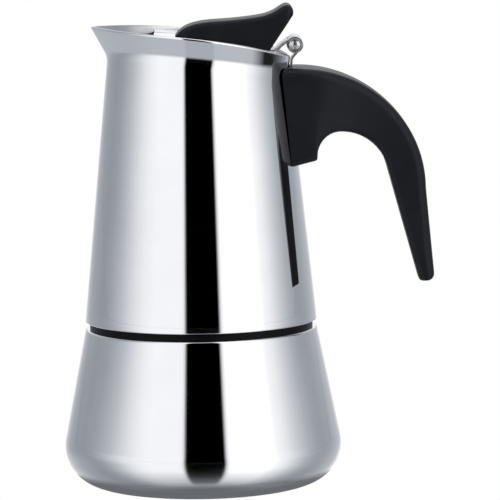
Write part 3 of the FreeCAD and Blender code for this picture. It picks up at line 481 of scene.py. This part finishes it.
def safety_valve():
    depth = 2.07
    piece("valve_seat", [on_valve(rounded([(4.2, -depth), (8.0, -depth, 0.4), (8.4, -0.9, 0.4), (8.0, 0, 0.35), (4.2, 0)]))],
          "boiler", [], polished)
    piece("valve_washer", [on_valve(rounded([(4.07, 0), (6.2, 0, 0.35), (6.2, 1.2, 0.35), (4.07, 1.2)]))], "boiler",
          ["valve_washer"], fibre)
    head = hexed(1.2, 5.2, 13.0, 3.4)
    stub = on_valve(rounded([(1.7, -6.5), (4.0, -6.5, 0.4), (4.0, 1.6), (1.7, 1.6)]))
    nose = on_valve(rounded([(3.1, 4.0), (4.4, 4.0), (4.4, 9.7, 0.8), (3.1, 9.7, 0.25)]))
    piece("valve_body", [head, stub, nose], "boiler", ["valve_body"], brass)
    piece("valve_nut", [hexed(-depth - 2.6, -depth, 13.0, 4.07)], "boiler", ["valve_nut"], brass)
    piece("valve_bush", [on_valve(rounded([(1.27, 7.7), (3.03, 7.7, 0.2), (3.03, 9.7, 0.3), (1.27, 9.7, 0.3)]))],
          "boiler", ["valve_bush"], brass)
    poppet = rounded([(0, -1), (2.7, -1, 0.25), (2.7, 0, 0.25), (1.2, 0, 0.0), (1.2, 11.2, 0.6), (0, 11.2)], closed=False)
    piece("valve_poppet", [on_valve(poppet, closed=False)], "valve", ["valve_poppet"], brass)


# ---------------------------------------------------------------- funnel, gasket and the jug's inside

def funnel():
    sheet, stem, basket, sieve = 0.8, 4.0, 32.4, 47.5
    cone_foot = sieve - 8.0
    outline = rounded([(stem, cone_foot, 0.2), (stem + sheet, cone_foot, 0.3), (basket, sieve - sheet, 2.0),
                       (basket, NECK_TOP, 0.2), (34.2, NECK_TOP, 0.3), (34.2, NECK_TOP + sheet, 0.35),
                       (basket - sheet, NECK_TOP + sheet, 0.6), (basket - sheet, sieve, 1.4), (stem, cone_foot + sheet)])
    piece("funnel_basket", [lathe(outline, 288)], "funnel", ["funnel_basket"], plain_steel)
    tube = rounded([(stem - sheet, 5.0, 0.3), (stem, 5.0, 0.3), (stem, cone_foot + sheet), (stem - sheet, cone_foot + sheet)])
    piece("funnel_stem", [lathe(tube, 96)], "funnel", ["funnel_stem"], plain_steel)
    ring = rounded([(27.5, 68.3, 0.5), (34.2, 68.3, 0.4), (34.2, 71.3, 0.4), (27.5, 71.3, 0.5)])
    piece("gasket", [lathe(ring, 240)], "seal", ["gasket"], silicone)


def jug_inside():
    inside = NECK_R + TAPER * (NECK - FLOOR) - STEEL - 0.07
    disc = rounded([(7.0, FLOOR), (inside, FLOOR), (inside - STEEL * TAPER, FLOOR_TOP), (7.0, FLOOR_TOP)])
    piece("jug_floor", [lathe(disc, 240)], "jug", ["jug_floor"], plain_steel)
    bore = thread(35.95, -0.25, SEAM + 0.4, 67.85, BOILER_TOP + 0.9)[::-1]
    rest = rounded([(36.2, SEAM + 0.07), (38.35, SEAM + 0.07, 0.3), (38.35, FLOOR), (34.55, FLOOR),
                    (34.55, 67.85)], closed=False)
    piece("jug_thread_ring", [(np.concatenate([bore, lathe(rest, 240)[0]]), True)], "jug", ["jug_thread_ring"],
          satin)
    top = FLOOR_TOP + 52.0
    tube = rounded([(8.2, FLOOR_TOP), (11.0, FLOOR_TOP, 0.3), (11.0, FLOOR_TOP + 0.8, 0.4), (9.0, FLOOR_TOP + 0.8, 1.2),
                    (6.0, FLOOR_TOP + 10, 6.0), (5.2, top, 0.2), (4.4, top, 0.2), (5.2, FLOOR_TOP + 10, 5.0)])
    piece("riser_tube", [lathe(tube, 120)], "jug", ["riser_tube"], plain_steel)


# ---------------------------------------------------------------- lid, knob and hinge

def lid_plate():
    """Sheet that lies just below the rim's line; its half width at each x reaches the wall less a running gap."""
    x = np.concatenate([[-15.2, -15.05, -14.8], np.linspace(-14.4, 30.0, 60), [30.25, 30.5, 30.6]])
    top = rim_height(x) - LID_DROP
    y = np.full_like(x, 28.0)
    for _ in range(80):
        angle = np.degrees(np.arctan2(y, -x))
        y = 0.5 * y + 0.5 * np.sqrt(np.maximum((wall_radius(angle, top) - STEEL - 0.5) ** 2 - x ** 2, 1.0))
    high = np.stack([x, top], axis=1)
    grid, _ = beam(high - (0, LID_SHEET), high, lambda a, b: y, 0.3, 0.3, arc=5, flats=40, caps=4)
    piece("lid_plate", [grid], "lid", ["lid_plate"], polished)


def knob():
    """Side outline with a blunt nose, a long brow and an upswept tail; rounded edges and rounded plan corners."""
    tail, front, heel = NECK_R + 2.6, NECK_R + 2.6 - 42.3, NECK_R - 6.3
    seat = LID_DROP - 0.07
    brow, top = NECK + 12.1, NECK + 17.4
    length = tail - front
    crown = [(front, rim_height(front) - seat)]
    crown += [(front + a * length, brow + b) for a, b in ((0.05, -3.1), (0.16, -1.0), (0.42, 0.15), (0.66, 1.1))]
    crown += [(front + a * length, top + b) for a, b in ((0.86, -1.7), (0.965, 0.0), (1.0, -1.6))]
    crown += [(tail, top - 3.6)]
    under = [(x, rim_height(x) - seat) for x in np.linspace(front, heel, 30)] + [(tail, top - 3.6)]
    count = 110
    high = spread(spline(crown, 400), count)
    low = spread(under, count)

    def half(a, b):
        middle = (a + b) / 2
        nose = np.clip((middle - front) / 4.5, 0, 1)
        end = np.clip((tail - middle) / 2.5, 0, 1)
        return 10.0 - 4.0 * (1 - np.sqrt(1 - (1 - nose) ** 2)) - 2.2 * (1 - np.sqrt(1 - (1 - end) ** 2))

    grid, _ = beam(low, high, half, 0.8, 2.0, arc=8, flats=10)
    piece("lid_knob", [grid], "lid", ["lid_knob"], plastic, 55.0)


def curl(first, last, count=48):
    """Points of a hinge strip's middle line round the pin between two angles in degrees."""
    turn = np.radians(np.linspace(first, last, count))
    reach = PIN_R + 0.07 + STRAP / 2
    return np.stack([PIN_X + reach * np.cos(turn), PIN_Z + reach * np.sin(turn)], axis=1)


def hinge():
    slope = math.radians(215.0)
    start = curl(125, 125, 1)[0]
    away = np.array([math.cos(slope), math.sin(slope)])
    seat_z = lambda x: rim_height(x) - LID_DROP + STRAP / 2 + 0.07
    reach = np.linspace(0, 14, 400)
    line = start + away * reach[:, None]
    meet = np.argmax(line[:, 1] < seat_z(line[:, 0]))
    knee = line[max(meet - 10, 0)]
    seat_x = np.linspace(line[min(meet + 12, 399)][0], 14.2, 20)
    seat = np.stack([seat_x, seat_z(seat_x)], axis=1)
    wide_end = start + away * 1.2
    wide = spline(np.concatenate([[wide_end, (wide_end + knee) / 2, knee], seat[1::4]]), 60)
    tab = np.concatenate([spread([start + away * 2.2, start + away * 0.05], 8), curl(125, -158)])
    grids = [ribbon(wide, STRAP, -9.0, 9.0), ribbon(tab, STRAP, 4.3, 9.0), ribbon(tab, STRAP, -9.0, -4.3)]
    piece("lid_leaf", grids, "lid", ["lid_leaf"], hinge_steel)
    slope = math.radians(228.0)
    start = curl(-42, -42, 1)[0]
    away = np.array([math.cos(slope), math.sin(slope)])
    wall = lambda z: wall_radius(180.0, np.asarray(z, float)) + 0.15 + STRAP / 2
    line = start + away * np.linspace(0, 9, 300)[:, None]
    meet = line[np.argmax(line[:, 0] < wall(line[:, 1]))]
    low = np.array([NECK - 8.0, NECK - 11.0])
    bent = rounded([start + away * 0.05, (*meet, 2.2), (wall(low[0]), low[0]), (wall(low[1]), low[1])], False, 12, 1.0)
    down = spread(bent, 60)
    strap = np.concatenate([down[::-1], curl(-42, 212)])
    piece("hinge_bracket", [ribbon(strap, STRAP, -4.0, 4.0)], "jug", ["hinge_bracket"], hinge_steel)
    end, bevel = 9.85, 0.4
    dome = [(1.58 * t, end - 0.3 * t * t) for t in np.linspace(0, 1, 9)]
    side = [(1.6, end - 0.4), (1.6, end - 1.7), (PIN_R, end - 1.8)]
    rod = np.array([(r, -z) for r, z in dome + side] + (dome + side)[::-1])
    piece("hinge_pin", [stood(lathe(rod, 96, False), (PIN_X, 0, PIN_Z), (0, 1, 0))], "jug", ["hinge_pin"],
          hinge_steel)


def knob_screws():
    """Pan-head screws from under the lid: a low dome with a shallow round socket, and a shank."""
    grids = []
    for x in (NECK_R + 2.6 - 42.3 + 11.0, NECK_R - 6.3 - 7.0):
        fall = (rim_height(x - 0.8) - rim_height(x + 0.8)) / 1.6
        foot = (x, 0, float(rim_height(x)) - LID_DROP)
        outline = rounded([(0, 6.0), (1.5, 6.0, 0.3), (1.5, -1.1), (3.0, -1.1, 0.2), (3.0, -1.9, 0.5), (1.3, -2.45, 0.3),
                           (0.9, -1.7, 0.1), (0, -1.7)], closed=False)
        grids.append(stood(lathe(outline, 48, False), foot, (float(fall), 0, 1)))
    piece("knob_screws", grids, "lid", ["knob_screws"], plated)


# ---------------------------------------------------------------- handle

def bored(made, points):
    """Takes the solid held by a closed point grid out of a piece, and leaves the piece a plain mesh."""
    spots, squares, triangles = welded(points, False)
    mesh = bpy.data.meshes.new("well")
    mesh.from_pydata((spots * MM).tolist(), [], squares.tolist() + triangles.tolist())
    tool = bpy.data.objects.new("well", mesh)
    bpy.context.scene.collection.objects.link(tool)
    cut = made.modifiers.new("well", "BOOLEAN")
    cut.operation, cut.solver, cut.object = "DIFFERENCE", "EXACT", tool
    bpy.context.view_layer.update()
    done = bpy.data.meshes.new_from_object(made.evaluated_get(bpy.context.evaluated_depsgraph_get()))
    made.modifiers.clear()
    old, made.data = made.data, done
    done.name = old.name + "_bored"
    bpy.data.objects.remove(tool)
    bpy.data.meshes.remove(mesh)
    bpy.data.meshes.remove(old)
    done.set_sharp_from_angle(angle=math.radians(50))


def handle():
    """A bar that springs from a block against the jug, arches over and hangs down. Stations fan out round the finger
    gap; the first section is pressed to the jug's wall."""
    top = NECK - 5.1
    start_x, rise, reach = NECK_R + 3.5, 44.0, 46.1
    arch = lambda t: np.stack([start_x + reach * np.cos(np.radians(t)), top - rise + rise * np.sin(np.radians(t))], axis=1)
    crown_x, crown_z, arc_r, nook = NECK_R + 18.7, NECK - 28.1, 17.6, 8.7
    gap = lambda t: np.stack([crown_x + arc_r * np.cos(np.radians(t)), crown_z - arc_r + arc_r * np.sin(np.radians(t))], axis=1)
    block_x, block_z = NECK_R + 10.5, NECK - 38.1
    wall_top = float(wall_radius(180.0, top)) + 0.2
    wall_low_z = block_z - 0.27 * 5.4
    wall_low = float(wall_radius(180.0, wall_low_z)) + 0.2
    soft = 1.1
    corner = rounded([(wall_low, wall_low_z), (block_x, block_z, soft), (block_x, crown_z - nook)], False, 6, 10.0)
    nook_turn = np.radians(np.linspace(180, 90, 14))
    nook_line = np.stack([crown_x + (crown_x - block_x) * np.cos(nook_turn), crown_z - nook + nook * np.sin(nook_turn)], axis=1)
    gap_line = gap(np.linspace(90, 14, 40))
    tip_in, tip_out = (84.4 - 5.4, 73.0), (84.4, 74.8)
    grip_low = spread([gap_line[-1], (tip_in[0] - 0.32, 74.2)], 34)
    low = np.concatenate([spread([corner[0], corner[1]], 10), corner[2:], nook_line[1:], gap_line[1:], grip_low[1:],
                          [(tip_in[0] - 0.1, 73.45), (tip_in[0] + 0.35, 73.1), (tip_in[0] + 0.9, 73.0)]])
    over = np.concatenate([[(wall_top, top), (wall_top + 0.5, top)], spread([(wall_top + 1.2, top), (start_x, top)], 3),
                           arch(np.linspace(89.0, 80.0, 6))])
    first = 10 + len(corner[2:])
    arch_far = arch(np.linspace(14.3, 0, 14))
    high = np.concatenate([spread(over, first), arch(np.linspace(80, 66, 14))[1:], arch(np.linspace(66, 14.3, 40))[1:],
                           spread(np.concatenate([arch_far, [(84.35, 75.6)]]), 34)[1:],
                           [(84.2, 74.5), (83.6, 73.6), (82.7, 73.1)]])
    plan = spline([(0, 14.4), (18, 14.4), (34, 14.4), (43, 14.1), (54, 11.7), (65, 9.5), (76, 8.4), (87, 7.6)], 300)

    def half(a, b):
        return np.minimum(np.interp((a + b) / 2, plan[:, 0], plan[:, 1]), 14.4)

    grid, station = beam(low, high, half, 2.0, 3.2, arc=8, flats=14, caps=10)
    near = 1 - eased(np.maximum(low[station, 0], high[station, 0]), wall_low, wall_low + 5.5)[:, None]
    near[station == 0] = 1.0
    y, z = grid[..., 1], grid[..., 2]
    shift = near * (wall_x(y, z, 0.2) - wall_x(0 * y, z, 0.2))
    grid[..., 0] += shift
    grid[..., 2] += 0.27 * shift * (1 - eased(z, block_z, block_z + 12))
    made = piece("handle", [grid], "jug", ["handle"], plastic, 60.0)
    well = rounded([(0, 110), (3.8, 110), (3.8, 131.0, 0.3), (0, 131.0)], closed=False)
    points, _ = stood(lathe(well, 64, False), (NECK_R + 17.4, 0, 0), (0, 0, 1))
    bored(made, points)


# ---------------------------------------------------------------- floor, light and camera

SKY = (
    (-180, 1.00), (-165, 0.60), (-150, 0.42), (-135, 0.37), (-120, 0.345), (-108, 0.38), (-100, 0.44), (-90, 0.54),
    (-80, 0.70), (-70, 0.86), (-60, 0.985), (-48, 1.06), (-20, 1.05), (-17.2, 0.95), (-14.8, 0.0), (17.1, 0.0),
    (19.9, 0.95), (23, 1.25), (58, 1.3), (66, 1.07), (74, 0.95), (82, 0.78), (90, 0.63), (100, 0.48), (110, 0.40),
    (120, 0.375), (130, 0.40), (145, 0.48), (160, 0.57), (180, 1.00),
)


def cool(light):
    """Greys lean to blue and whites stay neutral."""
    share = min(max((0.95 - light) / 0.6, 0.0), 1.0)
    return light * (1 - 0.058 * share), light, light * (1.015 + 0.075 * share), 1.0


def panels(tree, place):
    """The studio as seen from the pot: two pale panels with a dark slot between them, and grey falling off behind.
    The panels narrow a little as they rise. Also returns the height of the direction looked in."""
    split = tree.nodes.new("ShaderNodeSeparateXYZ")
    tree.links.new(place, split.inputs[0])
    back = math_node(tree, "MULTIPLY", split.outputs["Y"], -1.0)
    angle = math_node(tree, "ARCTAN2", split.outputs["X"], back)
    share = ranged(tree, angle, -0.5, 0.5, -math.pi, math.pi)
    high = ranged(tree, split.outputs["Z"], 0, 1, 0.06, 0.25)
    left = math_node(tree, "MULTIPLY", math_node(tree, "MINIMUM", math_node(tree, "ADD", share, 0.1), 0.0), 0.28)
    left = math_node(tree, "MAXIMUM", left, math_node(tree, "MULTIPLY", math_node(tree, "ADD", share, 0.5), -0.4))
    right = math_node(tree, "MAXIMUM", math_node(tree, "ADD", share, -0.1), 0.0)
    push = math_node(tree, "ADD", left, math_node(tree, "MULTIPLY", right, 0.07))
    where = math_node(tree, "ADD", math_node(tree, "ADD", share, 0.5), math_node(tree, "MULTIPLY", push, high))
    ramp = tree.nodes.new("ShaderNodeValToRGB")
    stops = ramp.color_ramp.elements
    while len(stops) < len(SKY):
        stops.new(0.5)
    for stop, (angle, light) in zip(stops, SKY):
        stop.position = (angle + 180) / 360
        stop.color = cool(light)
    tree.links.new(where, ramp.inputs["Fac"])
    return ramp.outputs["Color"], split


def studio():
    world = bpy.data.worlds.new("studio")
    bpy.context.scene.world = world
    world.use_nodes = True
    tree = world.node_tree
    tree.nodes.clear()
    place = tree.nodes.new("ShaderNodeTexCoord").outputs["Generated"]
    colour, split = panels(tree, place)
    high = tree.nodes.new("ShaderNodeMix")
    high.data_type = "RGBA"
    high.inputs["B"].default_value = (0.95, 0.95, 0.96, 1)
    tree.links.new(ranged(tree, split.outputs["Z"], 0, 1, 0.88, 0.98), high.inputs["Factor"])
    tree.links.new(colour, high.inputs["A"])
    around, plain, both = (tree.nodes.new(kind) for kind in ("ShaderNodeBackground", "ShaderNodeBackground", "ShaderNodeMixShader"))
    tree.links.new(high.outputs["Result"], around.inputs["Color"])
    plain.inputs["Color"].default_value = (1, 1, 1, 1)
    tree.links.new(tree.nodes.new("ShaderNodeLightPath").outputs["Is Camera Ray"], both.inputs["Fac"])
    tree.links.new(around.outputs[0], both.inputs[1])
    tree.links.new(plain.outputs[0], both.inputs[2])
    tree.links.new(both.outputs[0], tree.nodes.new("ShaderNodeOutputWorld").inputs["Surface"])


def along(tree, value, stops_at, shade):
    """A ramp of shades over a value between 0 and 1."""
    ramp = tree.nodes.new("ShaderNodeValToRGB")
    stops = ramp.color_ramp.elements
    while len(stops) < len(stops_at):
        stops.new(0.5)
    for stop, (where, light) in zip(stops, stops_at):
        stop.position = where
        stop.color = shade(light)
    tree.links.new(value, ramp.inputs["Fac"])
    return ramp.outputs["Color"]


def floor():
    """A pale floor: grey round the foot and paler further out, the grey round the foot being a painted shadow of the
    pot, a painted dim patch further out on the handle's side, and a sheen that is strong at low angles near the pot and
    weak further away."""
    rings = np.concatenate([[0.0], np.geomspace(20, 5000, 40)])
    turn = np.linspace(0, 2 * math.pi, 96, endpoint=False)
    points = np.stack([rings[:, None] * np.cos(turn), rings[:, None] * np.sin(turn), -0.2 + 0 * rings[:, None] * turn], axis=-1)
    spots, squares, triangles = welded(points, False)
    mesh = bpy.data.meshes.new("floor")
    mesh.from_pydata((spots * MM).tolist(), [], squares.tolist() + triangles.tolist())
    made = bpy.data.objects.new("floor", mesh)
    bpy.context.scene.collection.objects.link(made)
    look, tree, shader = nodes_of("pale_floor")
    tree.nodes.remove(shader)
    place = tree.nodes.new("ShaderNodeTexCoord").outputs["Object"]
    colour, split = panels(tree, place)
    flat = tree.nodes.new("ShaderNodeVectorMath")
    flat.operation = "LENGTH"
    tree.links.new(place, flat.inputs[0])
    out = flat.outputs["Value"]
    grey = lambda v: (v, v, v, 1)
    # Painted shadow: the glow is dim within about 75 mm of the axis, round the boiler's foot, where the pot shades the
    # floor.
    glow_with_painted_shadow = along(tree, out, ((0.047, 0.16), (0.0503, 0.23), (0.054, 0.23), (0.058, 0.185), (0.0635, 0.10), (0.075, 0.15),
                                  (0.09, 0.45), (0.12, 0.50), (0.8, 0.50)), cool)
    share = along(tree, out, ((0.046, 0.0), (0.050, 1.0), (0.17, 1.0), (0.36, 0.07)), grey)
    facing = tree.nodes.new("ShaderNodeLayerWeight").outputs["Facing"]
    strong = along(tree, facing, ((0.0, 0.0), (0.065, 0.2), (0.17, 0.45), (0.33, 0.71), (0.56, 0.97), (0.7, 1.0)), grey)
    low = math_node(tree, "MULTIPLY", ranged(tree, facing, 0, 1, 0.79, 0.87), ranged(tree, out, 0, 1, 0.05, 0.07))
    # Painted shade: a dim patch in the floor's glow on the handle's side and behind, from about 0.25 m out, which only
    # reflections see.
    turned = math_node(tree, "ADD", math_node(tree, "MULTIPLY", math_node(
        tree, "ARCTAN2", split.outputs["X"], math_node(tree, "MULTIPLY", split.outputs["Y"], -1.0)), 0.5 / math.pi), 0.5)
    shade = math_node(tree, "MULTIPLY", along(tree, turned, ((0.69, 0.0), (0.745, 1.0)), grey),
                      along(tree, out, ((0.2, 0.0), (0.3, 1.0)), grey))
    clear = math_node(tree, "SUBTRACT", 1.0, math_node(tree, "MULTIPLY", shade, 0.97))
    far = tree.nodes.new("ShaderNodeMix")
    far.data_type = "RGBA"
    tree.links.new(ranged(tree, out, 0.0, 0.9, 0.95, 2.2), far.inputs["Factor"])
    tree.links.new(glow_with_painted_shadow, far.inputs["A"])
    tree.links.new(colour, far.inputs["B"])
    glow, sheen, soft, white, both = (tree.nodes.new("ShaderNode" + kind) for kind in
                                      ("Emission", "BsdfGlossy", "MixShader", "Emission", "MixShader"))
    tree.links.new(far.outputs["Result"], glow.inputs["Color"])
    sheen.inputs["Color"].default_value = (1, 1, 1, 1)
    sheen.inputs["Roughness"].default_value = 0.10
    tree.links.new(clear, glow.inputs["Strength"])
    near = math_node(tree, "MULTIPLY", math_node(tree, "MULTIPLY", strong, share), clear)
    tree.links.new(math_node(tree, "MAXIMUM", near, low), soft.inputs["Fac"])
    tree.links.new(glow.outputs[0], soft.inputs[1])
    tree.links.new(sheen.outputs[0], soft.inputs[2])
    tree.links.new(tree.nodes.new("ShaderNodeLightPath").outputs["Is Camera Ray"], both.inputs["Fac"])
    tree.links.new(soft.outputs[0], both.inputs[1])
    tree.links.new(white.outputs[0], both.inputs[2])
    tree.links.new(both.outputs[0], tree.nodes["Material Output"].inputs["Surface"])
    mesh.materials.append(look)


def camera():
    made = bpy.data.objects.new("camera", bpy.data.cameras.new("camera"))
    bpy.context.scene.collection.objects.link(made)
    place, aim = Vector((0, -1.4, 0.247)), Vector((0.018065, 0, 0.084356))
    made.location = place
    made.rotation_mode = "QUATERNION"
    roll = Matrix.Rotation(math.radians(-0.9146), 4, "Z").to_quaternion()
    made.rotation_quaternion = (aim - place).to_track_quat("-Z", "Y") @ roll
    made.data.sensor_width = 36.0
    made.data.lens = 3896.4 / 500 * 36.0
    made.data.clip_start, made.data.clip_end = 0.05, 20.0
    bpy.context.scene.camera = made


boiler()
safety_valve()
funnel()
jug_shell()
jug_inside()
lid_plate()
knob()
hinge()
knob_screws()
handle()

CARRIED = {"valve_spring": wire, "funnel_sieve": plain_steel, "filter_plate": plain_steel, "riser_cap": plain_steel,
           "handle_bracket": hinge_steel, "handle_screw": plated}
for name, look in CARRIED.items():
    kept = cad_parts[name]
    kept.data.materials.clear()
    kept.data.materials.append(look)

studio()
floor()
camera()
bpy.context.scene.view_settings.view_transform = "Standard"
bpy.context.view_layer.update()
